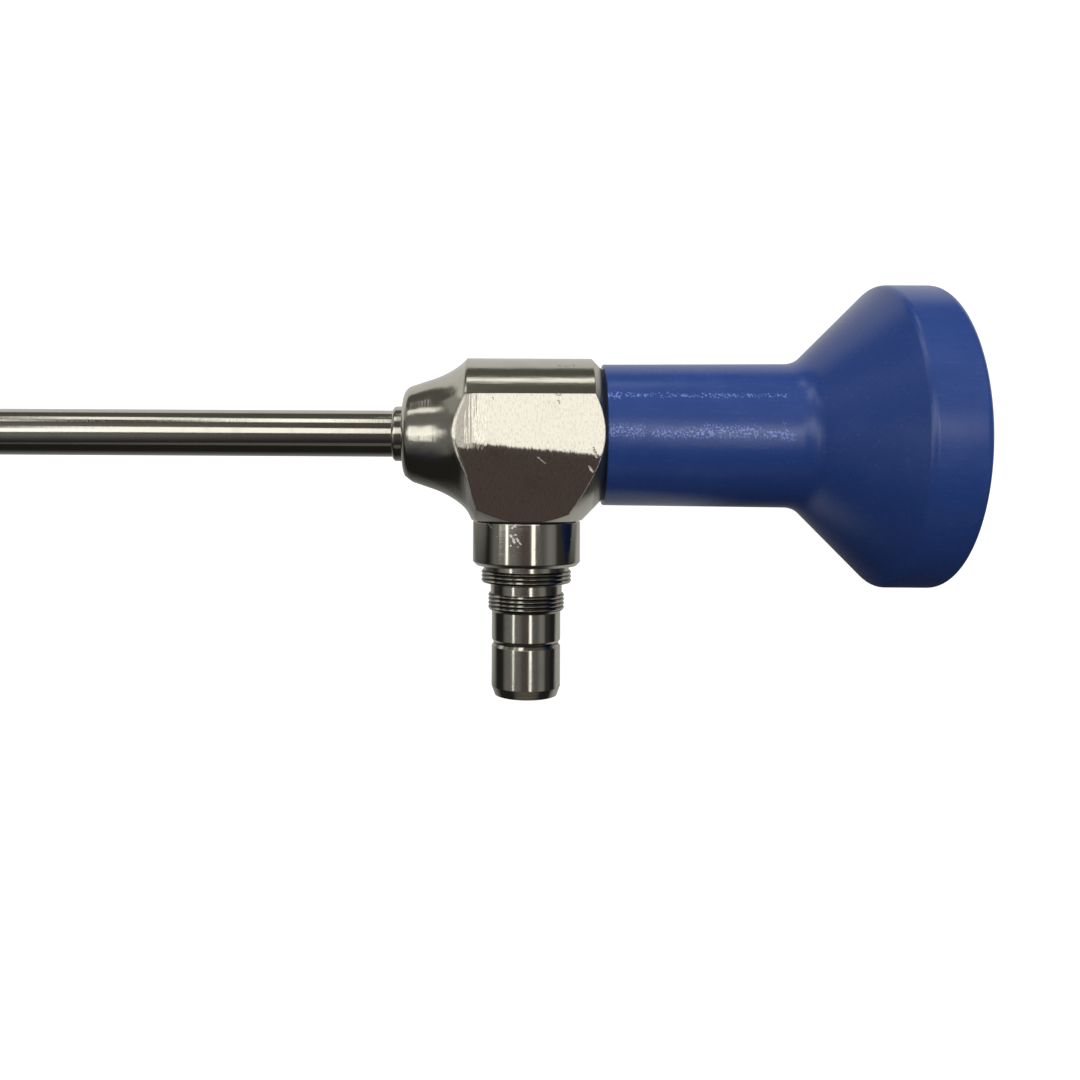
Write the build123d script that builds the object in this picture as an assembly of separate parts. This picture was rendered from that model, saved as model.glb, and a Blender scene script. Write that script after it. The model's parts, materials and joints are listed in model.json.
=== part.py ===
from build123d import *
import os
from math import asin, atan2, cos, degrees, hypot, radians, sin, tan

# Rigid endoscope, straight-viewing rod-lens telescope, in millimetres.
# Working frame: the optical axis is X with the eyepiece at +X, and the light post points to -Z.
# Its origin is where the post's axis meets the optical axis. The lying pose is applied at the end.

# Fits
FIT = 0.02             # radial clearance of soldered and screwed joints
LENS_FIT = 0.05        # radial clearance of glass in its tube

# Insertion tube
WORKING_LENGTH = 300.0
TUBE_OD = 5.0
TUBE_WALL = 0.2
TUBE_SEAT = 7.5        # length soldered inside the body
TIP_BREAK = 0.12       # broken outer edge at the distal end
SOLDER_TAPER = 0.06    # how much of its radius the tube loses inside the bead and body, for the solder
OPTICS_OD = 3.4
OPTICS_WALL = 0.15

# Bead ring where the tube enters the body
BEAD_OD = 5.9
BEAD_LENGTH = 1.2
BEAD_ROUND_SHARE = 0.9 # of the bead's height over the tube
SLEEVE_WALL = 0.4
SLEEVE_SEAT = 7.0

# Body block: a turned blank, milled to an arch section
BODY_FRONT = -13.15
BODY_REAR = 7.85
FRONT_CORNER_R = 4.87  # blank radius at the sharp front corner, before rounding
FRONT_ROUND = 1.2
TAPER_ANGLE = 18.4
FLARE_START = -9.95
FLARE_RADIUS = 9.4
FLARE_ANGLE = 40.0     # slope at which the flare turns tighter
FLARE_TURN_RADIUS = 3.0
SHOULDER_ANGLE = 64.0
REAR_CONE_R = 7.08     # at the rear face
REAR_CONE_ANGLE = 46.0
BLANK_MARGIN = 0.25    # how far the blank's ridge stands outside the bar it is milled to
ARCH_R = 8.15
ACROSS_FLATS = 14.3
BLOCK_BOTTOM = 9.05    # below the optical axis
UNDERSIDE_R = 7.2      # where the underside's bevel starts, from the post's axis
UNDERSIDE_ANGLE = 38.0
CHAMBER_R = 5.2
CHAMBER_FRONT = -5.5
REAR_BORE_R = 6.0
REAR_BORE_DEPTH = 5.5

# Light post, sizes along it counted from the optical axis
POST_SPIGOT_R = 4.0
POST_TOP_CLEARANCE = 0.1
SEAL_THICKNESS = 0.25
SEAL_R = 5.3
COLLAR_R = 5.72
COLLAR_END = 13.92
COLLAR_CHAMFER = 0.38
RELIEF_R = 4.56
UPPER_THREAD_START = 14.46
UPPER_THREAD_R = 4.8
UPPER_THREAD_TURNS = 3
THREAD_PITCH = 0.42
THREAD_DEPTH = 0.13
NECK_START = 15.95
NECK_R = 3.8
LOWER_THREAD_START = 16.9
LOWER_THREAD_R = 4.06
LOWER_THREAD_TURNS = 4
PLUG_START = 18.8
PLUG_R = 3.65
GROOVE_CENTRE = 22.1
GROOVE_R = 3.4
GROOVE_HALF_WIDTH = 0.37
PLUG_BEVEL_START = 26.65
POST_END = 27.6
POST_END_R = 3.3
FERRULE_WALL = 0.7
FERRULE_LENGTH = 9.0

# Light fibres
TAIL_R = 1.55
TAIL_DROP = 3.4        # tail's axis below the optical axis
TAIL_BEND = 2.2
GATHER_GAP = 0.1       # from the end of the outer tube to where they gather

# Lens train inside the inner tube
WINDOW_THICKNESS = 0.5
FRONT_LENS = 0.8
OBJECTIVE_SPACER = 2.2
OBJECTIVE_CROWN = 1.6
OBJECTIVE_FLINT = 1.0
ROD_COUNT = 6
END_SPACER = 4.0
ROD_SPACER = 6.0
SPACER_WALL = 0.2
LENS_LAND = 0.1        # flat ring on a lens face, inside the spacer's wall
ROD_SAG = 0.18
OBJECTIVE_SAG = 0.35
TRAIN_END = 6.8

# Ocular, inside the eyepiece
JOINT_SEAL = 0.2       # ring between body and shell
JOINT_SEAL_RECESS = 0.1
OCULAR_OD = 12.9
OCULAR_BORE_R = 4.8
OCULAR_END = 35.0
STOP_SEAT = 7.0
STOP_THICKNESS = 0.6
STOP_APERTURE_R = 1.3
OCULAR_LENS_START = 26.5
OCULAR_FLINT = 1.6
OCULAR_CROWN = 3.2
OCULAR_SAG = 0.7
OCULAR_REAR_SAG = 0.6
RETAINER_LENGTH = 1.6
PART_WALL = 0.5        # walls of the spacer and the retainer
WINDOW_SEAT = 33.4
EYE_WINDOW_R = 5.6
EYE_WINDOW = 1.6
BEZEL_APERTURE_R = 4.7
O_RING_CENTRE = 12.0
O_RING_SECTION_R = 0.48
O_RING_GROOVE_DEPTH = 0.95

# Eyepiece shell, one moulding
EYECUP_R = 16.0
SHELL_FRONT_R = 7.54
SHELL_NECK_R = 7.68    # at the foot of the cone
SHELL_FRONT_ROUND = 0.15
CONE_START = 28.55
CONE_ANGLE = 44.5
CONE_FOOT_ROUND = 3.0
CONE_TOP_ROUND = 1.0
SHELL_END = 42.6
RIM_ROUND = 0.8
RIM_WIDTH = 1.8
RIM_INNER_ROUND = 0.4
DISH_FLOOR = 36.4
DISH_FLOOR_R = 8.5
DISH_ROUND = 1.0

# Derived places
TUBE_R = TUBE_OD / 2
OPTICS_R = OPTICS_OD / 2
LENS_R = OPTICS_R - OPTICS_WALL - LENS_FIT
CLEAR_R = LENS_R - SPACER_WALL - LENS_LAND
BEAD_FRONT = BODY_FRONT - BEAD_LENGTH
TIP = BEAD_FRONT - WORKING_LENGTH
TUBE_END = BODY_FRONT + TUBE_SEAT
GATHER_START = TUBE_END + GATHER_GAP
SLEEVE_R = TUBE_R + FIT + SLEEVE_WALL
SHELL_FRONT = BODY_REAR + JOINT_SEAL
SHELL_BORE_R = OCULAR_OD / 2 + LENS_FIT
COLLAR_TOP = BLOCK_BOTTOM + SEAL_THICKNESS
POST_TOP = REAR_BORE_R + POST_TOP_CLEARANCE
RIM_INNER_R = EYECUP_R - RIM_WIDTH
CONE_TOP = CONE_START + (EYECUP_R - SHELL_NECK_R) / tan(radians(CONE_ANGLE))
OCULAR_PART_R = OCULAR_BORE_R - FIT


def turned(outline, rounds=()):
    """Solid turned about X from (place along X, radius) points; rounds holds (corner, radius) pairs."""
    section = make_face(Polyline(*outline, close=True))
    for corner, size in rounds:
        section = fillet(section.vertices().sort_by_distance(corner)[0], size)
    return revolve(section, Axis.X)


def ring(start, end, inner, outer):
    """Plain tube about X."""
    return turned([(start, inner), (end, inner), (end, outer), (start, outer)])


def post_turned(outline, rounds=()):
    """Solid turned about the post's axis, from (distance below the optical axis, radius) points."""
    return Rot(Y=90) * turned(outline, rounds)


def dome(plane, clear, sag):
    """Half outline of a lens face: from its pole on the axis to its flat rim."""
    if sag == 0:
        return Line((plane, 0), (plane, clear))
    return TangentArc((plane + sag, 0), (plane, clear), tangent=(0, 1))


def lens(start, end, edge, clear, front=0.0, rear=0.0):
    """Lens with a flat rim; front and rear are how far each pole stands along +X from its rim."""
    outline = [dome(start, clear, front), dome(end, clear, rear)]
    outline += [Line((start, clear), (start, edge)), Line((start, edge), (end, edge))]
    outline += [Line((end, edge), (end, clear)), Line((start + front, 0), (end + rear, 0))]
    return revolve(make_face(outline), Axis.X)


def sheath_tube():
    """Outer steel tube, with its distal edge broken and its soldered end ground to a slight taper."""
    inner = TUBE_R - TUBE_WALL
    return turned([
        (TIP, inner),
        (TUBE_END, inner),
        (TUBE_END, TUBE_R - SOLDER_TAPER),
        (BEAD_FRONT, TUBE_R),
        (TIP + TIP_BREAK, TUBE_R),
        (TIP, TUBE_R - TIP_BREAK),
    ])


def optics_tube():
    """Inner steel tube that carries the whole lens train."""
    return ring(TIP, TRAIN_END, OPTICS_R - OPTICS_WALL, OPTICS_R)


def light_fibres():
    """Glass fibres: a sleeve between the tubes, gathered below the inner tube and bent into the post."""
    sleeve = ring(TIP, GATHER_START, OPTICS_R, TUBE_R - TUBE_WALL)
    gather_end = Plane((-TAIL_BEND, 0, -TAIL_DROP), z_dir=(1, 0, 0))
    gathered = loft([Plane.YZ.offset(GATHER_START) * Circle(TUBE_R - TUBE_WALL), gather_end * Circle(TAIL_R)])
    gathered -= ring(TIP, 0, 0, OPTICS_R)
    bend = Plane.XZ * JernArc((-TAIL_BEND, -TAIL_DROP), (1, 0), TAIL_BEND, -90)
    tail = sweep(gather_end * Circle(TAIL_R), path=bend)
    bend_end = TAIL_DROP + TAIL_BEND
    straight = post_turned([(bend_end, 0), (POST_END, 0), (POST_END, TAIL_R), (bend_end, TAIL_R)])
    return sleeve + gathered + tail + straight


def lens_train():
    """Everything in the inner tube, in order from the tip, each piece against the one before."""
    rods = TRAIN_END - TIP - WINDOW_THICKNESS - FRONT_LENS - OBJECTIVE_SPACER
    rods -= OBJECTIVE_CROWN + OBJECTIVE_FLINT + 2 * END_SPACER + (ROD_COUNT - 1) * ROD_SPACER
    rod_length = rods / ROD_COUNT
    pieces = {}
    place = TIP

    def add_lens(name, length, front, rear):
        nonlocal place
        pieces[name] = lens(place, place + length, LENS_R, CLEAR_R, front, rear)
        place += length

    def add_spacer(name, length):
        nonlocal place
        pieces[name] = ring(place, place + length, LENS_R - SPACER_WALL, LENS_R)
        place += length

    add_lens("distal_window", WINDOW_THICKNESS, 0.0, 0.0)
    add_lens("objective_front_lens", FRONT_LENS, 0.0, -OBJECTIVE_SAG)
    add_spacer("objective_spacer", OBJECTIVE_SPACER)
    add_lens("objective_crown", OBJECTIVE_CROWN, -OBJECTIVE_SAG, OBJECTIVE_SAG)
    add_lens("objective_flint", OBJECTIVE_FLINT, OBJECTIVE_SAG, ROD_SAG)
    add_spacer("relay_spacer_1", END_SPACER)
    for number in range(1, ROD_COUNT + 1):
        add_lens(f"rod_lens_{number}", rod_length, -ROD_SAG, ROD_SAG)
        add_spacer(f"relay_spacer_{number + 1}", END_SPACER if number == ROD_COUNT else ROD_SPACER)
    return pieces


def tube_collar():
    """Steel sleeve soldered round the tube, with the rounded bead that shows in front of the body."""
    outline = [
        (BEAD_FRONT, TUBE_R + FIT),
        (BODY_FRONT + SLEEVE_SEAT, TUBE_R + FIT),
        (BODY_FRONT + SLEEVE_SEAT, SLEEVE_R),
        (BODY_FRONT, SLEEVE_R),
        (BODY_FRONT, BEAD_OD / 2),
        (BEAD_FRONT, BEAD_OD / 2),
    ]
    bead_round = BEAD_ROUND_SHARE * (BEAD_OD / 2 - TUBE_R - FIT)
    return turned(outline, [((BEAD_FRONT, BEAD_OD / 2), bead_round)])


def body_blank():
    """Turned blank about the optical axis: rounded nose, taper, concave flare, shoulder and rear cone."""
    taper = tan(radians(TAPER_ANGLE))
    flare_foot = (FLARE_START, FRONT_CORNER_R + (FLARE_START - BODY_FRONT) * taper)
    flare = JernArc(flare_foot, (1, taper), FLARE_RADIUS, FLARE_ANGLE - TAPER_ANGLE)
    turn = JernArc(flare @ 1, flare % 1, FLARE_TURN_RADIUS, SHOULDER_ANGLE - FLARE_ANGLE)
    ridge_r = hypot(BLOCK_BOTTOM, ACROSS_FLATS / 2) + BLANK_MARGIN
    shoulder_top = ((turn @ 1).X + (ridge_r - (turn @ 1).Y) / tan(radians(SHOULDER_ANGLE)), ridge_r)
    cone_top = (BODY_REAR - (ridge_r - REAR_CONE_R) / tan(radians(REAR_CONE_ANGLE)), ridge_r)
    nose = Polyline((BODY_FRONT, 0), (BODY_FRONT, FRONT_CORNER_R), flare_foot)
    rear = Polyline(turn @ 1, shoulder_top, cone_top, (BODY_REAR, REAR_CONE_R), (BODY_REAR, 0), (BODY_FRONT, 0))
    section = make_face([nose, flare, turn, rear])
    corner = section.vertices().sort_by_distance((BODY_FRONT, FRONT_CORNER_R))[0]
    return revolve(fillet(corner, FRONT_ROUND), Axis.X)


def arch_bar():
    """Bar along X that the blank is milled to: round top, two flats, and an underside bevelled all round."""
    flats = Rectangle(ACROSS_FLATS, 2 * (ARCH_R + BLOCK_BOTTOM))
    section = (Circle(ARCH_R) + Pos(0, -BLOCK_BOTTOM / 2) * Rectangle(2 * ARCH_R, BLOCK_BOTTOM)) & flats
    bar = extrude(Plane.YZ.offset(BODY_FRONT) * section, BODY_REAR - BODY_FRONT)
    reach = 2 * COLLAR_END
    rise = (reach - UNDERSIDE_R) * tan(radians(UNDERSIDE_ANGLE))
    underside = post_turned([
        (-2 * ARCH_R, 0),
        (BLOCK_BOTTOM, 0),
        (BLOCK_BOTTOM, UNDERSIDE_R),
        (BLOCK_BOTTOM - rise, reach),
        (-2 * ARCH_R, reach),
    ])
    return bar & underside


def body_block():
    """Steel body: milled outside, bored for the tube, the fibre chamber, the ocular tube and the post."""
    outside = body_blank() & arch_bar()
    tube_bore = ring(BODY_FRONT, CHAMBER_FRONT, 0, SLEEVE_R + FIT)
    chamber = ring(CHAMBER_FRONT, BODY_REAR - REAR_BORE_DEPTH, 0, CHAMBER_R)
    rear_bore = ring(BODY_REAR - REAR_BORE_DEPTH, BODY_REAR, 0, REAR_BORE_R)
    post_bore = post_turned([(0, 0), (BLOCK_BOTTOM, 0), (BLOCK_BOTTOM, POST_SPIGOT_R + FIT),
                             (0, POST_SPIGOT_R + FIT)])
    return outside - tube_bore - chamber - rear_bore - post_bore


def post_seal():
    """Thin dark sealing ring between the body and the collar."""
    return post_turned([(BLOCK_BOTTOM, POST_SPIGOT_R + FIT), (COLLAR_TOP, POST_SPIGOT_R + FIT),
                        (COLLAR_TOP, SEAL_R), (BLOCK_BOTTOM, SEAL_R)])


def post_collar():
    """Plain steel collar round the root of the light post."""
    bore = POST_SPIGOT_R + FIT
    return post_turned([
        (COLLAR_TOP, bore),
        (COLLAR_TOP, COLLAR_R),
        (COLLAR_END - COLLAR_CHAMFER, COLLAR_R),
        (COLLAR_END, COLLAR_R - COLLAR_CHAMFER),
        (COLLAR_END, bore),
    ])


def thread_ridges(start, radius, turns):
    """Outline points of a short thread, drawn as its ridges, from the first root to the last."""
    points = []
    for turn in range(turns):
        root = start + turn * THREAD_PITCH
        points += [(root, radius - THREAD_DEPTH), (root + THREAD_PITCH / 2, radius)]
    points.append((start + turns * THREAD_PITCH, radius - THREAD_DEPTH))
    return points


def light_post():
    """Turned post: spigot, relief, large thread, neck, small thread, plug with its locking groove."""
    outline = [(POST_TOP, TAIL_R + FIT), (POST_TOP, POST_SPIGOT_R), (COLLAR_END, POST_SPIGOT_R)]
    outline += [(COLLAR_END, RELIEF_R), (UPPER_THREAD_START, RELIEF_R)]
    outline += thread_ridges(UPPER_THREAD_START, UPPER_THREAD_R, UPPER_THREAD_TURNS)
    outline += [(NECK_START, NECK_R), (LOWER_THREAD_START, NECK_R)]
    outline += thread_ridges(LOWER_THREAD_START, LOWER_THREAD_R, LOWER_THREAD_TURNS)
    outline += [(PLUG_START, PLUG_R), (GROOVE_CENTRE - GROOVE_HALF_WIDTH, PLUG_R)]
    outline += [(GROOVE_CENTRE, GROOVE_R), (GROOVE_CENTRE + GROOVE_HALF_WIDTH, PLUG_R)]
    outline += [(PLUG_BEVEL_START, PLUG_R), (POST_END, POST_END_R)]
    ferrule_bore = TAIL_R + FERRULE_WALL + FIT
    outline += [(POST_END, ferrule_bore), (POST_END - FERRULE_LENGTH, ferrule_bore)]
    outline += [(POST_END - FERRULE_LENGTH, TAIL_R + FIT)]
    return post_turned(outline)


def fibre_ferrule():
    """Sleeve that the fibre ends are glued and polished in."""
    outer = TAIL_R + FERRULE_WALL
    return post_turned([(POST_END - FERRULE_LENGTH, TAIL_R + FIT), (POST_END, TAIL_R + FIT),
                        (POST_END, outer), (POST_END - FERRULE_LENGTH, outer)])


def ocular_tube():
    """Steel tube screwed into the body's rear, which holds the inner tube's end and the eyepiece optics."""
    front = BODY_REAR - REAR_BORE_DEPTH
    spigot = REAR_BORE_R - FIT
    outer = OCULAR_OD / 2
    groove = O_RING_SECTION_R + FIT
    return turned([
        (front, OPTICS_R + FIT),
        (STOP_SEAT, OPTICS_R + FIT),
        (STOP_SEAT, OCULAR_BORE_R),
        (WINDOW_SEAT, OCULAR_BORE_R),
        (WINDOW_SEAT, EYE_WINDOW_R + FIT),
        (OCULAR_END, EYE_WINDOW_R + FIT),
        (OCULAR_END, outer),
        (O_RING_CENTRE + groove, outer),
        (O_RING_CENTRE + groove, outer - O_RING_GROOVE_DEPTH),
        (O_RING_CENTRE - groove, outer - O_RING_GROOVE_DEPTH),
        (O_RING_CENTRE - groove, outer),
        (SHELL_FRONT, outer),
        (SHELL_FRONT, spigot),
        (front, spigot),
    ])


def ocular_o_ring():
    """Rubber ring that seals the shell on the ocular tube."""
    centre = SHELL_BORE_R - LENS_FIT / 2 - O_RING_SECTION_R
    return revolve(Pos(O_RING_CENTRE, centre) * Circle(O_RING_SECTION_R), Axis.X)


def ocular_pieces():
    """Field stop, spacer, cemented doublet and retainer, stacked in the ocular tube."""
    stop_end = STOP_SEAT + STOP_THICKNESS
    crown_start = OCULAR_LENS_START + OCULAR_FLINT
    crown_end = crown_start + OCULAR_CROWN
    inner = OCULAR_PART_R - PART_WALL
    return {
        "field_stop": ring(STOP_SEAT, stop_end, STOP_APERTURE_R, OCULAR_PART_R),
        "ocular_spacer": ring(stop_end, OCULAR_LENS_START, inner, OCULAR_PART_R),
        "ocular_flint": lens(OCULAR_LENS_START, crown_start, OCULAR_PART_R, inner, 0.0, -OCULAR_SAG),
        "ocular_crown": lens(crown_start, crown_end, OCULAR_PART_R, inner, -OCULAR_SAG, OCULAR_REAR_SAG),
        "ocular_retainer": ring(crown_end, crown_end + RETAINER_LENGTH, inner, OCULAR_PART_R),
    }


def eyepiece_window():
    """Flat glass that closes the eyepiece."""
    return ring(WINDOW_SEAT, WINDOW_SEAT + EYE_WINDOW, 0, EYE_WINDOW_R)


def window_bezel():
    """Black ring round the window, in the floor of the eyecup."""
    return ring(OCULAR_END, DISH_FLOOR, BEZEL_APERTURE_R, OCULAR_OD / 2)


def joint_seal():
    """Dark ring in the joint between the body and the shell."""
    return ring(BODY_REAR, SHELL_FRONT, REAR_BORE_R, REAR_CONE_R - JOINT_SEAL_RECESS)


def eyepiece_shell():
    """Moulded shell: neck, 45 degree cone, rim band, and the dished eyecup behind."""
    front_corner = (SHELL_FRONT, SHELL_FRONT_R)
    cone_foot = (CONE_START, SHELL_NECK_R)
    rim = (SHELL_END, EYECUP_R)
    dish_top = (SHELL_END, RIM_INNER_R)
    dish_foot = (DISH_FLOOR, DISH_FLOOR_R)
    cone_top = (CONE_TOP, EYECUP_R)
    outline = [(SHELL_FRONT, SHELL_BORE_R), front_corner, cone_foot, cone_top, rim, dish_top]
    outline += [dish_foot, (DISH_FLOOR, SHELL_BORE_R)]
    rounds = [
        (front_corner, SHELL_FRONT_ROUND),
        (cone_foot, CONE_FOOT_ROUND),
        (cone_top, CONE_TOP_ROUND),
        (rim, RIM_ROUND),
        (dish_top, RIM_INNER_ROUND),
        (dish_foot, DISH_ROUND),
    ]
    return turned(outline, rounds)


def lying_pose():
    """Place the working frame so that the piece lies at rest on z = 0.

    It touches at three points: the front edge of the rim band, the lower edge of the tip, and the
    end of the light post. The origin goes below the middle of the bounding box.
    """
    band_start = CONE_TOP + CONE_TOP_ROUND * tan(radians(CONE_ANGLE / 2))
    round_r = EYECUP_R - CONE_TOP_ROUND
    along = band_start - (TIP + TIP_BREAK)
    across = round_r - TUBE_R
    pitch = asin(CONE_TOP_ROUND / hypot(along, across)) + atan2(across, along)
    height = round_r * cos(pitch) - band_start * sin(pitch) + CONE_TOP_ROUND
    drop = asin(height / hypot(POST_END, POST_END_R)) - atan2(POST_END_R, POST_END)
    dip = asin(sin(drop) / cos(pitch))
    turn = Rot(Y=-degrees(pitch)) * Rot(X=degrees(dip) - 90)

    lowest_x = TIP * cos(pitch) - TUBE_R * sin(pitch)
    highest_x = (SHELL_END - RIM_ROUND) * cos(pitch) + (EYECUP_R - RIM_ROUND) * sin(pitch) + RIM_ROUND
    lowest_y = -(PLUG_BEVEL_START * cos(dip) + PLUG_R * sin(dip))
    centre_x = (lowest_x + highest_x) / 2
    centre_y = (lowest_y + EYECUP_R) / 2
    return Pos(-centre_x, -centre_y, height) * turn


def all_pieces():
    """Every node by name, in the working frame."""
    pieces = {
        "sheath_tube": sheath_tube(),
        "optics_tube": optics_tube(),
        "light_fibres": light_fibres(),
        "tube_collar": tube_collar(),
        "body_block": body_block(),
        "post_seal": post_seal(),
        "post_collar": post_collar(),
        "light_post": light_post(),
        "fibre_ferrule": fibre_ferrule(),
        "joint_seal": joint_seal(),
        "ocular_tube": ocular_tube(),
        "ocular_o_ring": ocular_o_ring(),
        "eyepiece_window": eyepiece_window(),
        "window_bezel": window_bezel(),
        "eyepiece_shell": eyepiece_shell(),
    }
    pieces.update(lens_train())
    pieces.update(ocular_pieces())
    return pieces


os.makedirs("parts", exist_ok=True)
placement = lying_pose()
for name, shape in all_pieces().items():
    export_step(placement * shape, f"parts/{name}.step")
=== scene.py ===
import json
from math import cos, pi, radians, sin, tan

import bpy
from mathutils import Euler, Matrix, Vector

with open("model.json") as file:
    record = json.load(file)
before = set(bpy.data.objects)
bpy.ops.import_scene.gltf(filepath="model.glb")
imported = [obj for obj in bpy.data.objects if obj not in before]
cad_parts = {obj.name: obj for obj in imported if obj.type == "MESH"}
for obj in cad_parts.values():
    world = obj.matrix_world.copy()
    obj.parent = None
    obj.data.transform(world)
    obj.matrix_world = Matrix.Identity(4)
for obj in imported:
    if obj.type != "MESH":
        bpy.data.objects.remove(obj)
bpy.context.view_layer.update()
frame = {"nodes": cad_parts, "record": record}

MM = 0.001

# The photograph's frame in pixels, and the camera that fits its outlines, in millimetres and
# degrees of the instrument's own frame
PHOTO_WIDTH = 1080
FOCAL_PIXELS = 1000
AXIS_PIXEL = (500, 430)
CAMERA_PLACE = (-1.37, -107.5, -3.54)
CAMERA_PITCH = 92.13
CAMERA_ROLL = -0.33
CAMERA_YAW = 0.8
SENSOR = 36.0
CLIP_START = 0.01

# Lamps: name, turn, side, height and width in degrees, roll, radiance, seen in mirrors.
# turn is upwards about the optical axis from the viewer, and side is to the right from there.
LAMP_DISTANCE = 0.6
LAMPS = (
    ("front_left", 11.75, -19, 24, 24, -5, 1.45, True),
    ("front_gap", 10.05, -4.6, 18, 5, -4.5, 0.7, True),
    ("front_middle", 10.25, 3.5, 19, 11.5, -4.5, 1.4, True),
    ("front_right", 5, 18, 13, 18, 0, 1.6, True),
    ("far_left", 6.5, -39, 15.5, 18, 3, 1.32, True),
    ("flare_band", 1, -54, 9, 13, 8, 0.85, True),
    ("upper_far", 57.5, -38, 9, 14, 0, 1.25, True),
    ("flare_streak", 60, -49, 6, 9, 0, 0.35, True),
    ("flare_upper", 104, -62, 38, 24, 0, 0.27, True),
    ("upper_left", 72, -26, 14, 10, 0, 1.3, True),
    ("upper_middle", 64, -14, 20, 12, 0, 1.6, True),
    ("ceiling", 86, 2, 8, 16, 0, 1.6, True),
    ("left_strip", -11, -42, 14, 4.5, 0, 2.1, True),
    ("right_strip", -4, 14, 26, 7.5, 0, 1.8, True),
    ("fill_high", 50, 16, 60, 80, 0, 1.5, False),
    ("fill_front", -6, 10, 40, 60, 0, 0.15, False),
)

# The room as the steel mirrors it. The walls go by place round the post: 0 and 1 behind the
# instrument, 0.5 at the viewer. The others go by the slope of a ray, 1 straight up, -1 down.
VIEWER_SHADE = (0.088, 0.068, 0.069)
WALLS = (
    (0.0, 0.4), (0.14, 0.36), (0.165, 0.26), (0.19, 0.42), (0.208, 0.5), (0.222, 0.05),
    (0.27, 0.05), (0.3, 0.17), (0.43, 0.17), (0.47, VIEWER_SHADE), (0.52, VIEWER_SHADE),
    (0.56, 0.14), (0.6, 0.11), (0.64, 0.24), (0.67, 0.2), (0.69, 0.04), (0.8, 0.02),
    (0.84, 0.35), (1.0, 0.4),
)
CEILING = (0.1, 0.1, 0.09, 1)
CEILING_RAMP = (0.45, 0.8)
GROUND = (0.018, 0.018, 0.03, 1)
GROUND_RAMP = (-0.2, -0.75)
UNDER = (0.13, 0.12, 0.1, 1)
UNDER_RAMP = (-0.72, -0.8)

# The floor, in metres: white to the camera and through glass, and in mirrors dark in front,
# pale behind and brighter round one spot, which is placed in the instrument's millimetres
FLOOR_SIZE = 3
FLOOR_GREY = (0.25, 0.25, 0.25, 1)
FLOOR_SHOWN = 0.98
FLOOR_NEAR = 0.018
FLOOR_FAR = 0.65
FLOOR_RAMP = (-0.015, 0.025)
SPOT_PLACE = (5, 0, -13)
SPOT_RAMP = (0.024, 0.012)
SPOT_GLOW = 0.42

# Colours, in linear light
WHITE = (1, 1, 1, 1)
SCRAPED_STEEL = (0.85, 0.83, 0.76, 1)
STEEL = (0.62, 0.595, 0.505, 1)
STAINED_STEEL = (0.48, 0.445, 0.355, 1)
# Painted shade: dark colour laid into the roots of the post's grooves
GROOVE_SHADE = (0.07, 0.06, 0.045, 1)
SHELL_BLUE = (0.022, 0.063, 0.265, 1)
# Pale blue for worn streaks and patches, for scratches, and for painted glints on highlight bands
PALE_BLUE_AND_GLINT = (0.2, 0.29, 0.72, 1)
RUBBER = (0.012, 0.012, 0.013, 1)
BLACK_METAL = (0.02, 0.02, 0.022, 1)
FIBRE = (0.62, 0.57, 0.42, 1)
FIBRE_GAPS = (0.2, 0.17, 0.1, 1)
GLASS_IOR = 1.52
PLASTIC_IOR = 1.6

# Noise: scale per millimetre along X, Y and Z of the instrument, and detail
TUBE_LINES = ((12.0, 0.2, 0.2), 3)
POST_LINES = ((0.2, 0.2, 12.0), 3)
STEEL_PATCHES = ((0.35, 0.35, 0.35), 4)
NOSE_LINES = ((7.0, 0.15, 0.15), 3)
ARCH_LINES = ((0.3, 6.0, 6.0), 3)
FLAT_LINES = ((4.0, 1.0, 0.25), 2)
FLAT_GRAIN = ((6.0, 6.0, 2.5), 3)
BODY_WAVES = ((0.5, 0.7, 0.7), 1)
BODY_PATCHES = ((0.3, 0.3, 0.3), 4)
SHELL_GRAIN = ((7.0, 7.0, 7.0), 3)
SHELL_SPECKS = ((4.5, 4.5, 4.5), 2)
SHELL_STREAKS = ((0.35, 2.6, 2.6), 4)
SHELL_PATCHES = ((0.25, 0.25, 0.25), 3)
MIDDLE = 0.5           # that the noise goes up and down from
FIBRE_SCALE = 9.0
RAGGED_SCALE = 5.0

# What the noise has to pass to show, from not at all to in full
STAIN_SHOWS = (0.5, 0.75)
GRAIN_SHOWS = (0.45, 0.7)
SPECK_SHOWS = (0.46, 0.62)
STREAK_SHOWS = (0.5, 0.8)
PATCH_SHOWS = (0.45, 0.8)
FIBRE_GAP_SHOWS = (0.3, 0.6)

# Turned steel: share of the stained colour, spread of roughness, what a nick adds to roughness
# and to height, and share of the painted shade in the groove roots
STEEL_STAIN = 0.35
STEEL_SPREAD = 0.12
STEEL_WORN_ROUGHNESS = 0.3
STEEL_WORN_HEIGHT = -3
STEEL_GROOVE_SHADE = 0.6

# Body block: heights in BODY_RELIEF, shares of the stained colour, and what adds to roughness
TURNING_HEIGHT = 1.2
NOSE_WAVE_HEIGHT = 4
LENGTHWISE_HEIGHT = 0.6
ARCH_WAVE_HEIGHT = 1
UPRIGHT_HEIGHT = 0.3
GRAIN_HEIGHT = 0.02
BODY_WORN_HEIGHT = -2
BODY_STAIN = 0.3
GRAIN_STAIN = 0.6
BODY_WORN_STAIN = 0.55
BODY_ROUGHNESS = 0.15
BODY_SPREAD = 0.05
FLAT_ROUGHNESS = -0.13
REAR_ROUGHNESS = 0.2
BODY_WORN_ROUGHNESS = 0.1

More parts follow.
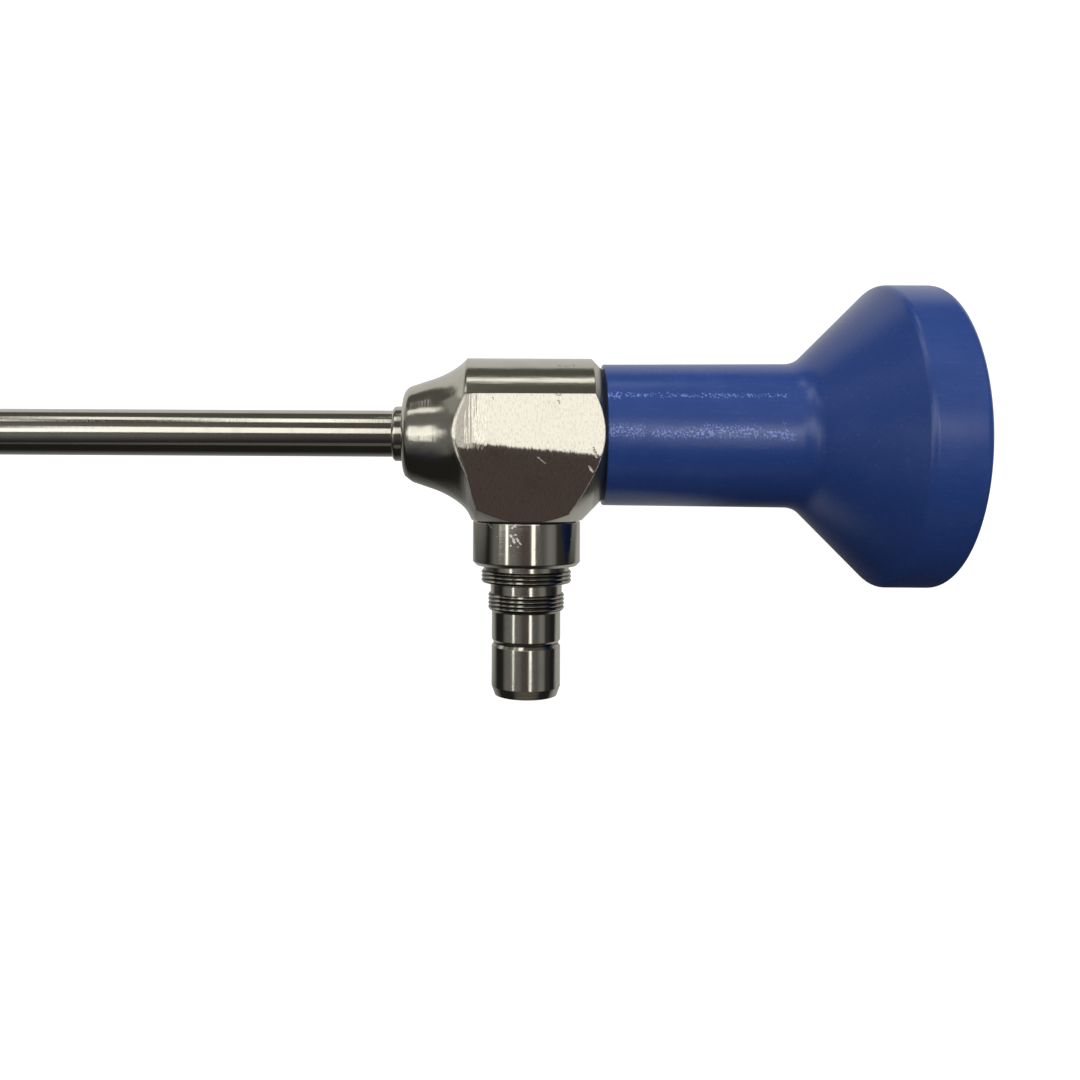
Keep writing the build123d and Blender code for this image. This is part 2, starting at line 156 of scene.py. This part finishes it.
# Shell: height of its streaks in SHELL_RELIEF, shares of the pale blue for worn streaks and
# patches and for scratches and painted glints, and roughness
STREAK_HEIGHT = 0.2
STREAK_PALE = 0.035
PATCH_PALE = 0.045
GLINT_AND_SCRATCH_PALE = 0.9
SHELL_ROUGHNESS = 0.25
STREAK_SPREAD = 0.05
GRAIN_SPREAD = 0.12

# Where the body's surfaces change, in millimetres: depth and radius are from the optical axis
FLAT_DEPTH = (7.1, 7.13)
ARCH_RADIUS = (8.11, 8.14)
SHOULDER_X = (-5.5, -6.6)
REAR_CONE_X = (6.0, 6.5)

# Millimetres of relief, of rounded edges, of ragged outlines and of the fade beside a groove
BODY_RELIEF = 0.009
BODY_EDGE = 0.1
SHOULDER_EDGE = 0.5
SHELL_RELIEF = 0.009
SHELL_EDGE = 0.1
SHELL_RAGGED = 0.5
STEEL_RAGGED = 0.15
GROOVE_SHADE_MARGIN = 0.05

# Share of a mark's width that it covers in full, and rays that find each rounded edge
MARK_CORE = 0.3
EDGE_SAMPLES = 8

# Nicks, scratches and, on the shell, painted glints, as (start, end, width) in the instrument's
# own millimetres
BODY_WEAR = (
    ((3.2, -4.2, 7.0), (3.4, -4.2, 7.0), 0.1),
    ((3.9, -4.3, 6.9), (4.4, -4.2, 7.0), 0.09),
    ((4.7, -4.0, 7.1), (4.8, -4.3, 6.9), 0.12),
    ((-3.6, -7.15, 3.5), (-3.5, -7.15, 3.3), 0.07),
    ((2.9, -7.15, 3.9), (3.3, -7.15, 3.8), 0.16),
    ((3.1, -7.15, 3.2), (3.15, -7.15, 2.9), 0.09),
    ((1.0, -7.15, -2.5), (1.9, -7.15, -3.2), 0.06),
    ((6.6, -7.15, -1.6), (6.9, -7.15, -2.4), 0.14),
    ((6.2, -7.15, -3.4), (6.5, -7.15, -3.9), 0.12),
    ((6.2, -6.6, 5.1), (6.6, -6.6, 5.1), 0.14),
)
COLLAR_WEAR = (
    ((-1.55, -5.5, -9.75), (-1.2, -5.59, -9.35), 0.12),
    ((-1.45, -5.53, -9.45), (-1.15, -5.6, -9.6), 0.08),
    ((-3.9, -4.18, -9.4), (-3.65, -4.4, -9.75), 0.1),
    ((-1.65, -5.48, -10.4), (-1.55, -5.5, -10.55), 0.15),
    ((-1.25, -5.58, -10.35), (-1.15, -5.6, -10.4), 0.1),
    ((-1.05, -5.62, -10.75), (-0.9, -5.65, -10.95), 0.17),
    ((-1.4, -5.55, -10.8), (-1.3, -5.57, -11.15), 0.16),
    ((-0.75, -5.67, -11.2), (-0.65, -5.68, -11.3), 0.12),
    ((-1.7, -5.46, -11.4), (-1.65, -5.48, -11.5), 0.09),
    ((-0.95, -5.64, -11.55), (-0.9, -5.65, -11.6), 0.08),
    ((-3.1, -4.81, -10.6), (-3.05, -4.84, -10.65), 0.07),
    ((0.8, -5.66, -11.9), (0.85, -5.66, -11.95), 0.09),
    ((4.6, -3.4, -10.9), (4.7, -3.26, -11.3), 0.12),
)
# The first six follow the shell's two highlight bands and are painted glints; the rest are
# scratches
SHELL_GLINTS_AND_SCRATCHES = (
    ((8.2, -7.54, 0.2), (11.2, -7.54, 0.15), 0.9),
    ((12.8, -7.55, 0.0), (18.0, -7.58, 0.0), 0.7),
    ((18.0, -7.58, 0.2), (22.8, -7.62, 0.1), 0.85),
    ((22.8, -7.64, 0.1), (26.3, -7.66, -0.3), 0.6),
    ((8.2, -6.5, 3.85), (9.2, -6.5, 3.8), 0.6),
    ((9.6, -6.5, 3.85), (26.0, -6.6, 3.8), 0.3),
    ((17.6, -6.45, 3.95), (17.7, -6.6, 3.6), 0.16),
    ((20.1, -6.55, 3.75), (20.4, -6.55, 3.75), 0.16),
    ((17.9, -7.5, 1.0), (18.0, -7.58, -0.2), 0.13),
    ((25.4, -7.55, 1.2), (26.2, -7.66, -0.6), 0.16),
)

# Grooves round the post whose roots get painted shade, as (top, bottom, crest radius, root
# radius) in millimetres, with top and bottom measured down from the optical axis
POST_GROOVES = ((14.46, 15.72, 4.79, 4.69), (16.9, 18.58, 4.05, 3.95), (21.7, 22.5, 3.5, 3.4))

INNER_STEEL = [
    "optics_tube", "ocular_tube", "ocular_retainer", "ocular_spacer", "objective_spacer",
    *(f"relay_spacer_{number}" for number in range(1, 8)),
]
LENSES = [
    "distal_window", "objective_front_lens", "objective_crown", "objective_flint",
    "ocular_flint", "ocular_crown", "eyepiece_window",
    *(f"rod_lens_{number}" for number in range(1, 7)),
]


def mount(name):
    """Place and axis of one of the record's mounts."""
    found = next(entry for entry in frame["record"]["mounts"] if entry["name"] == name)
    return Vector(found["pos_m"]), Vector(found["axis"]).normalized()


def scope_frame():
    """The instrument's own frame: X along the optical axis towards the eyecup, Y away from the
    viewer and -Z down the light post."""
    rim, axis = mount("eyecup_rim")
    plug, post = mount("light_post_plug")
    across = axis.cross(post).normalized()
    origin = rim + axis * (plug - rim).dot(axis)
    return Matrix.Translation(origin) @ Matrix((axis, across, -post)).transposed().to_4x4()


SCOPE = scope_frame()


class Socket:
    """An output in a node tree; arithmetic on it adds Math nodes."""

    def __init__(self, tree, output):
        self.tree = tree
        self.output = output

    def math(self, operation, *others):
        return self.tree.node("ShaderNodeMath", {"operation": operation}, (self, *others))

    def __add__(self, other):
        return self.math("ADD", other)

    def __sub__(self, other):
        return self.math("SUBTRACT", other)

    def __rsub__(self, other):
        return self.tree.node("ShaderNodeMath", {"operation": "SUBTRACT"}, (other, self))

    def __mul__(self, other):
        return self.math("MULTIPLY", other)

    def __truediv__(self, other):
        return self.math("DIVIDE", other)

    __radd__ = __add__
    __rmul__ = __mul__


class Tree:
    """A node tree that nodes are added to."""

    def __init__(self, tree):
        self.tree = tree

    def feed(self, socket, value):
        """Link a socket to another node's output, or set its value."""
        if isinstance(value, Socket):
            self.tree.links.new(value.output, socket)
        else:
            socket.default_value = value

    def node(self, kind, settings=None, inputs=(), output=0):
        """One node: its settings first, then the values or links of its sockets."""
        made = self.tree.nodes.new(kind)
        for key, value in (settings or {}).items():
            if key == "stops":
                fill_ramp(made.color_ramp, value)
            else:
                setattr(made, key, value)
        pairs = inputs.items() if isinstance(inputs, dict) else enumerate(inputs)
        for key, value in pairs:
            self.feed(made.inputs[key], value)
        return Socket(self, made.outputs[output])

    def ray(self, kind):
        """1 where a ray is of this kind, such as Camera, and 0 elsewhere."""
        return self.node("ShaderNodeLightPath", output=f"Is {kind} Ray")

    def ramp(self, value, start, end):
        """0 up to start, 1 from end on, smooth between; start may be the larger."""
        return self.node("ShaderNodeMapRange", {"interpolation_type": "SMOOTHSTEP"},
                         {"Value": value, "From Min": start, "From Max": end})

    def between(self, factor, first, second):
        """A colour between two colours."""
        return self.node("ShaderNodeMix", {"data_type": "RGBA"}, {0: factor, 6: first, 7: second},
                         output=2)

    def vector(self, operation, *values, output="Vector"):
        """Vector maths, with Value as its output where the result is one number."""
        return self.node("ShaderNodeVectorMath", {"operation": operation}, values, output)


class Finish(Tree):
    """A material, and the nodes that make its look."""

    def __init__(self, name, **values):
        self.material = bpy.data.materials.new(name)
        self.material.use_nodes = True
        super().__init__(self.material.node_tree)
        self.shader = self.tree.nodes["Principled BSDF"]
        self.set(**values)

    def set(self, **values):
        """Values or links for the shader's sockets, with underscores for spaces in their names."""
        for key, value in values.items():
            self.feed(self.shader.inputs[key.replace("_", " ")], value)

    def place(self):
        """Millimetres in the instrument's own frame."""
        turn = SCOPE.to_3x3().transposed()
        return self.node("ShaderNodeMapping", inputs={
            "Vector": self.node("ShaderNodeTexCoord", output="Object"),
            "Location": turn @ SCOPE.translation / -MM,
            "Rotation": turn.to_euler(),
            "Scale": (1 / MM, 1 / MM, 1 / MM),
        })

    def part(self, place, axis):
        """One coordinate of a place."""
        return self.node("ShaderNodeSeparateXYZ", inputs=[place], output=axis)

    def radius(self, place, across):
        """Distance from an axis; across is 1 for the two directions that are square to it."""
        return self.vector("LENGTH", self.vector("MULTIPLY", place, across), output="Value")

    def noise(self, place, scale, detail):
        """Noise from 0 to 1 about 0.5, with its own scale per millimetre along each axis."""
        stretched = self.vector("MULTIPLY", place, scale)
        return self.node("ShaderNodeTexNoise",
                         inputs={"Vector": stretched, "Scale": 1.0, "Detail": detail})

    def ragged(self, place, reach):
        """The same places, shifted a little and unevenly, so that marks get ragged outlines."""
        shift = self.node("ShaderNodeTexNoise", inputs={"Vector": place, "Scale": RAGGED_SCALE},
                          output="Color")
        centred = self.vector("SUBTRACT", shift, (MIDDLE,) * 3)
        return self.vector("ADD", place, self.vector("MULTIPLY", centred, (2 * reach,) * 3))

    def mark(self, place, start, end, width):
        """1 on a short line between two places in millimetres, and 0 from width on."""
        start = Vector(start)
        run = Vector(end) - start
        offset = self.vector("SUBTRACT", place, start)
        along = self.vector("DOT_PRODUCT", offset, run / run.length_squared, output="Value")
        along = self.node("ShaderNodeClamp", inputs=[along])
        along = self.node("ShaderNodeCombineXYZ", inputs=[along, along, along])
        nearest = self.vector("MULTIPLY", along, run)
        away = self.vector("DISTANCE", offset, nearest, output="Value")
        return self.ramp(away, width, MARK_CORE * width)

    def marks(self, place, lines):
        """All of a finish's marks as one mask."""
        return sum(self.mark(place, *line) for line in lines).math("MINIMUM", 1)

    def groove_shade_mask(self, place, grooves):
        """Painted shade in the roots of the grooves round the post, as one mask."""
        height = self.part(place, "Z")
        radius = self.radius(place, (1, 1, 0))
        return sum(
            self.ramp(height, -bottom - GROOVE_SHADE_MARGIN, -bottom)
            * self.ramp(height, GROOVE_SHADE_MARGIN - top, -top)
            * self.ramp(radius, crest, root)
            for top, bottom, crest, root in grooves
        )

    def relief(self, height, depth, edge):
        """Normal of a surface with height times depth in millimetres on it, and with its edges
        rounded by a radius in millimetres."""
        rounded = self.node("ShaderNodeBevel", {"samples": EDGE_SAMPLES}, {"Radius": edge * MM})
        return self.node("ShaderNodeBump", inputs={
            "Height": height, "Distance": depth * MM, "Strength": 1.0, "Normal": rounded,
        })


def fill_ramp(ramp, stops):
    """Colour stops as (place, grey or colour)."""
    while len(ramp.elements) < len(stops):
        ramp.elements.new(0.5)
    for element, (place, colour) in zip(ramp.elements, stops):
        element.position = place
        element.color = (colour, colour, colour, 1) if isinstance(colour, float) else (*colour, 1)


def camera():
    """The viewpoint of the photograph, set in the instrument's own frame."""
    data = bpy.data.cameras.new("camera")
    data.sensor_width = SENSOR
    data.lens = SENSOR * FOCAL_PIXELS / PHOTO_WIDTH
    data.shift_x = (PHOTO_WIDTH / 2 - AXIS_PIXEL[0]) / PHOTO_WIDTH
    data.shift_y = (AXIS_PIXEL[1] - PHOTO_WIDTH / 2) / PHOTO_WIDTH
    data.clip_start = CLIP_START
    viewer = bpy.data.objects.new("camera", data)
    turn = Euler((radians(CAMERA_PITCH), radians(CAMERA_ROLL), radians(CAMERA_YAW)))
    place = Matrix.Translation(Vector(CAMERA_PLACE) * MM) @ turn.to_matrix().to_4x4()
    viewer.matrix_world = SCOPE @ place
    bpy.context.collection.objects.link(viewer)
    bpy.context.scene.camera = viewer


def softbox(name, turn, side, height, width, roll, radiance, glossy):
    """Rectangular lamp aimed at the instrument. A radiance of 1 shows as white in a mirror."""
    data = bpy.data.lights.new(name, "AREA")
    data.shape = "RECTANGLE"
    data.size = 2 * LAMP_DISTANCE * tan(radians(width / 2))
    data.size_y = 2 * LAMP_DISTANCE * tan(radians(height / 2))
    data.energy = radiance * pi * data.size * data.size_y
    lamp = bpy.data.objects.new(name, data)
    lamp.visible_glossy = glossy
    lamp.visible_camera = False
    turn, side = radians(turn), radians(side)
    out = Vector((sin(side), -cos(side) * cos(turn), cos(side) * sin(turn)))
    across = (Vector((1, 0, 0)) - out * out.x).normalized()
    axes = Matrix((across, out.cross(across), out)).transposed().to_4x4()
    axes = axes @ Matrix.Rotation(radians(roll), 4, "Z")
    lamp.matrix_world = SCOPE @ Matrix.Translation(out * LAMP_DISTANCE) @ axes
    bpy.context.collection.objects.link(lamp)


def surroundings():
    """World: white to the camera and through glass, and the room in mirrors."""
    world = bpy.data.worlds.new("studio")
    bpy.context.scene.world = world
    world.use_nodes = True
    sky = Tree(world.node_tree)
    direction = sky.node("ShaderNodeTexCoord", output="Generated")
    right, front, up = (
        sky.vector("DOT_PRODUCT", direction, SCOPE.to_3x3() @ Vector(axis), output="Value")
        for axis in ((1, 0, 0), (0, -1, 0), (0, 0, 1))
    )
    around = right.math("ARCTAN2", front) / (2 * pi) + 0.5
    room = sky.node("ShaderNodeValToRGB", {"stops": WALLS}, [around], "Color")
    for colour, limits in ((CEILING, CEILING_RAMP), (GROUND, GROUND_RAMP), (UNDER, UNDER_RAMP)):
        room = sky.between(sky.ramp(up, *limits), room, colour)
    shown = sky.ray("Camera") + sky.ray("Transmission")
    background = world.node_tree.nodes["Background"]
    sky.feed(background.inputs["Color"], sky.between(shown, room, WHITE))


def floor():
    """Pale floor that keeps the shadow, and a graded one in mirrors."""
    bpy.ops.mesh.primitive_plane_add(size=FLOOR_SIZE)
    plane = bpy.context.object
    plane.name = "floor"
    board = Finish("floor", Base_Color=FLOOR_GREY, Roughness=0.9, Specular_IOR_Level=0.0)
    shown = board.ray("Camera") + board.ray("Transmission")
    board.set(Emission_Color=shown * FLOOR_SHOWN, Emission_Strength=1.0)
    ground = board.node("ShaderNodeTexCoord", output="Object")
    pale = board.ramp(board.part(ground, "Y"), *FLOOR_RAMP) * (FLOOR_FAR - FLOOR_NEAR) + FLOOR_NEAR
    below = SCOPE @ (Vector(SPOT_PLACE) * MM)
    away = board.vector("DISTANCE", ground, (below.x, below.y, 0), output="Value")
    pale = pale.math("MAXIMUM", board.ramp(away, *SPOT_RAMP) * SPOT_GLOW)
    mirror = board.node("ShaderNodeEmission", inputs={"Color": pale}, output="Emission")
    plain = Socket(board, board.shader.outputs["BSDF"])
    surface = board.node("ShaderNodeMixShader", inputs=[board.ray("Glossy"), plain, mirror],
                         output="Shader")
    board.feed(board.tree.nodes["Material Output"].inputs["Surface"], surface)
    plane.data.materials.append(board.material)


def studio():
    """Plain view, surroundings, floor and lamps."""
    bpy.context.scene.view_settings.view_transform = "Standard"
    surroundings()
    floor()
    for lamp in LAMPS:
        softbox(*lamp)


def dress(nodes, finish):
    """Give CAD nodes a finish."""
    for name in nodes:
        node = frame["nodes"][name]
        node.data.materials.clear()
        node.data.materials.append(finish.material)


def turned_steel(name, lines, roughness, depth, edge, wear=(), grooves=()):
    """Bright steel with fine turning marks. lines is their noise, depth their height and edge the
    radius of rounded edges, in millimetres; wear and grooves say where it has nicks and where
    its groove roots get painted shade."""
    finish = Finish(name, Metallic=1.0)
    place = finish.place()
    patches = finish.noise(place, *STEEL_PATCHES)
    height = finish.noise(place, *lines)
    stain = finish.ramp(patches, *STAIN_SHOWS) * STEEL_STAIN
    colour = finish.between(stain, STEEL, STAINED_STEEL)
    roughness = roughness + (patches - MIDDLE) * STEEL_SPREAD
    if wear:
        worn = finish.marks(finish.ragged(place, STEEL_RAGGED), wear)
        colour = finish.between(worn, colour, SCRAPED_STEEL)
        roughness = roughness + worn * STEEL_WORN_ROUGHNESS
        height = height + worn * STEEL_WORN_HEIGHT
    if grooves:
        # Painted shade: the groove roots are darkened, unevenly with the patches
        groove_shading = finish.groove_shade_mask(place, grooves) * (patches + 1) * STEEL_GROOVE_SHADE
        colour = finish.between(groove_shading, colour, GROOVE_SHADE)
    finish.set(
        Base_Color=colour,
        Roughness=roughness,
        Normal=finish.relief(height, depth, edge),
    )
    return finish


def body_steel():
    """Body block: turning marks on the nose, the flare and the rear cone, lengthwise marks on the
    arch, and an upright grain on the flats."""
    finish = Finish("body_steel", Metallic=1.0)
    place = finish.place()
    depth = finish.part(place, "Y").math("ABSOLUTE")
    length = finish.part(place, "X")
    flat = finish.ramp(depth, *FLAT_DEPTH)
    arch = finish.ramp(finish.radius(place, (0, 1, 1)), *ARCH_RADIUS) * (1 - flat)
    turned = 1 - arch - flat
    shoulder = finish.ramp(length, *SHOULDER_X)
    rear = finish.ramp(length, *REAR_CONE_X) * turned
    turning = finish.noise(place, *NOSE_LINES)
    lengthwise = finish.noise(place, *ARCH_LINES)
    upright = finish.noise(place, *FLAT_LINES)
    grain = finish.noise(place, *FLAT_GRAIN)
    waves = finish.noise(place, *BODY_WAVES)
    patches = finish.noise(place, *BODY_PATCHES)
    worn = finish.marks(finish.ragged(place, STEEL_RAGGED), BODY_WEAR)
    height = (
        (turning * TURNING_HEIGHT + waves * NOSE_WAVE_HEIGHT) * turned
        + (lengthwise * LENGTHWISE_HEIGHT + waves * ARCH_WAVE_HEIGHT) * arch
        + (upright * UPRIGHT_HEIGHT + grain * GRAIN_HEIGHT) * flat
        + worn * BODY_WORN_HEIGHT
    )
    stain = (
        finish.ramp(patches, *STAIN_SHOWS) * BODY_STAIN
        + finish.ramp(grain, *GRAIN_SHOWS) * flat * GRAIN_STAIN
    )
    stain = stain.math("MAXIMUM", worn * BODY_WORN_STAIN)
    roughness = (
        BODY_ROUGHNESS
        + (patches - MIDDLE) * BODY_SPREAD * (1 - flat)
        + flat * FLAT_ROUGHNESS
        + rear * REAR_ROUGHNESS
        + worn * BODY_WORN_ROUGHNESS
    )
    finish.set(
        Base_Color=finish.between(stain, STEEL, STAINED_STEEL),
        Roughness=roughness,
        Normal=finish.relief(height, BODY_RELIEF, shoulder * SHOULDER_EDGE + BODY_EDGE),
    )
    return finish


def shell_blue():
    """Moulded blue shell with a fine grain, handling streaks, and scratches and painted glints
    on its neck.
    """
    finish = Finish("shell_blue", IOR=PLASTIC_IOR)
    place = finish.place()
    grain = finish.noise(place, *SHELL_GRAIN)
    specks = finish.noise(place, *SHELL_SPECKS)
    streaks = finish.noise(place, *SHELL_STREAKS)
    patches = finish.noise(place, *SHELL_PATCHES)
    glints_and_scratches = finish.marks(finish.ragged(place, SHELL_RAGGED), SHELL_GLINTS_AND_SCRATCHES)
    pale = (
        finish.ramp(streaks, *STREAK_SHOWS) * STREAK_PALE
        + finish.ramp(patches, *PATCH_SHOWS) * PATCH_PALE
        # Painted highlight: pale specks along the highlight bands, as well as on the scratches
        + finish.ramp(specks, *SPECK_SHOWS) * glints_and_scratches * GLINT_AND_SCRATCH_PALE
    )
    roughness = (
        SHELL_ROUGHNESS
        + (streaks - MIDDLE) * STREAK_SPREAD
        + (grain - MIDDLE) * GRAIN_SPREAD
    )
    height = grain + specks + streaks * STREAK_HEIGHT
    finish.set(
        Base_Color=finish.between(pale, SHELL_BLUE, PALE_BLUE_AND_GLINT),
        Roughness=roughness,
        Normal=finish.relief(height, SHELL_RELIEF, SHELL_EDGE),
    )
    return finish


def fibre_ends():
    """Polished ends of the glass fibres, each a pale dot."""
    finish = Finish("fibres", Roughness=0.25)
    cells = finish.node("ShaderNodeTexVoronoi",
                        inputs={"Vector": finish.place(), "Scale": FIBRE_SCALE}, output="Distance")
    gaps = finish.ramp(cells, *FIBRE_GAP_SHOWS)
    finish.set(Base_Color=finish.between(gaps, FIBRE, FIBRE_GAPS))
    return finish


camera()
studio()

tube = turned_steel("tube_steel", TUBE_LINES, roughness=0.1, depth=0.006, edge=0.06)
bead = turned_steel("bead_steel", TUBE_LINES, roughness=0.12, depth=0.004, edge=0.3)
collar = turned_steel("collar_steel", POST_LINES, roughness=0.1, depth=0.003, edge=0.2,
                      wear=COLLAR_WEAR)
post = turned_steel("post_steel", POST_LINES, roughness=0.13, depth=0.005, edge=0.05,
                    grooves=POST_GROOVES)
inner = Finish("inner_steel", Base_Color=STEEL, Metallic=1.0, Roughness=0.3)
rubber = Finish("rubber", Base_Color=RUBBER, Roughness=0.5)
black = Finish("black_metal", Base_Color=BLACK_METAL, Roughness=0.4)
glass = Finish("lens_glass", Base_Color=WHITE, Roughness=0.0, IOR=GLASS_IOR,
               Transmission_Weight=1.0)

dress(["sheath_tube"], tube)
dress(["tube_collar"], bead)
dress(["body_block"], body_steel())
dress(["post_collar"], collar)
dress(["light_post", "fibre_ferrule"], post)
dress(INNER_STEEL, inner)
dress(["eyepiece_shell"], shell_blue())
dress(["joint_seal", "post_seal", "ocular_o_ring"], rubber)
dress(["window_bezel", "field_stop"], black)
dress(["light_fibres"], fibre_ends())
dress(LENSES, glass)
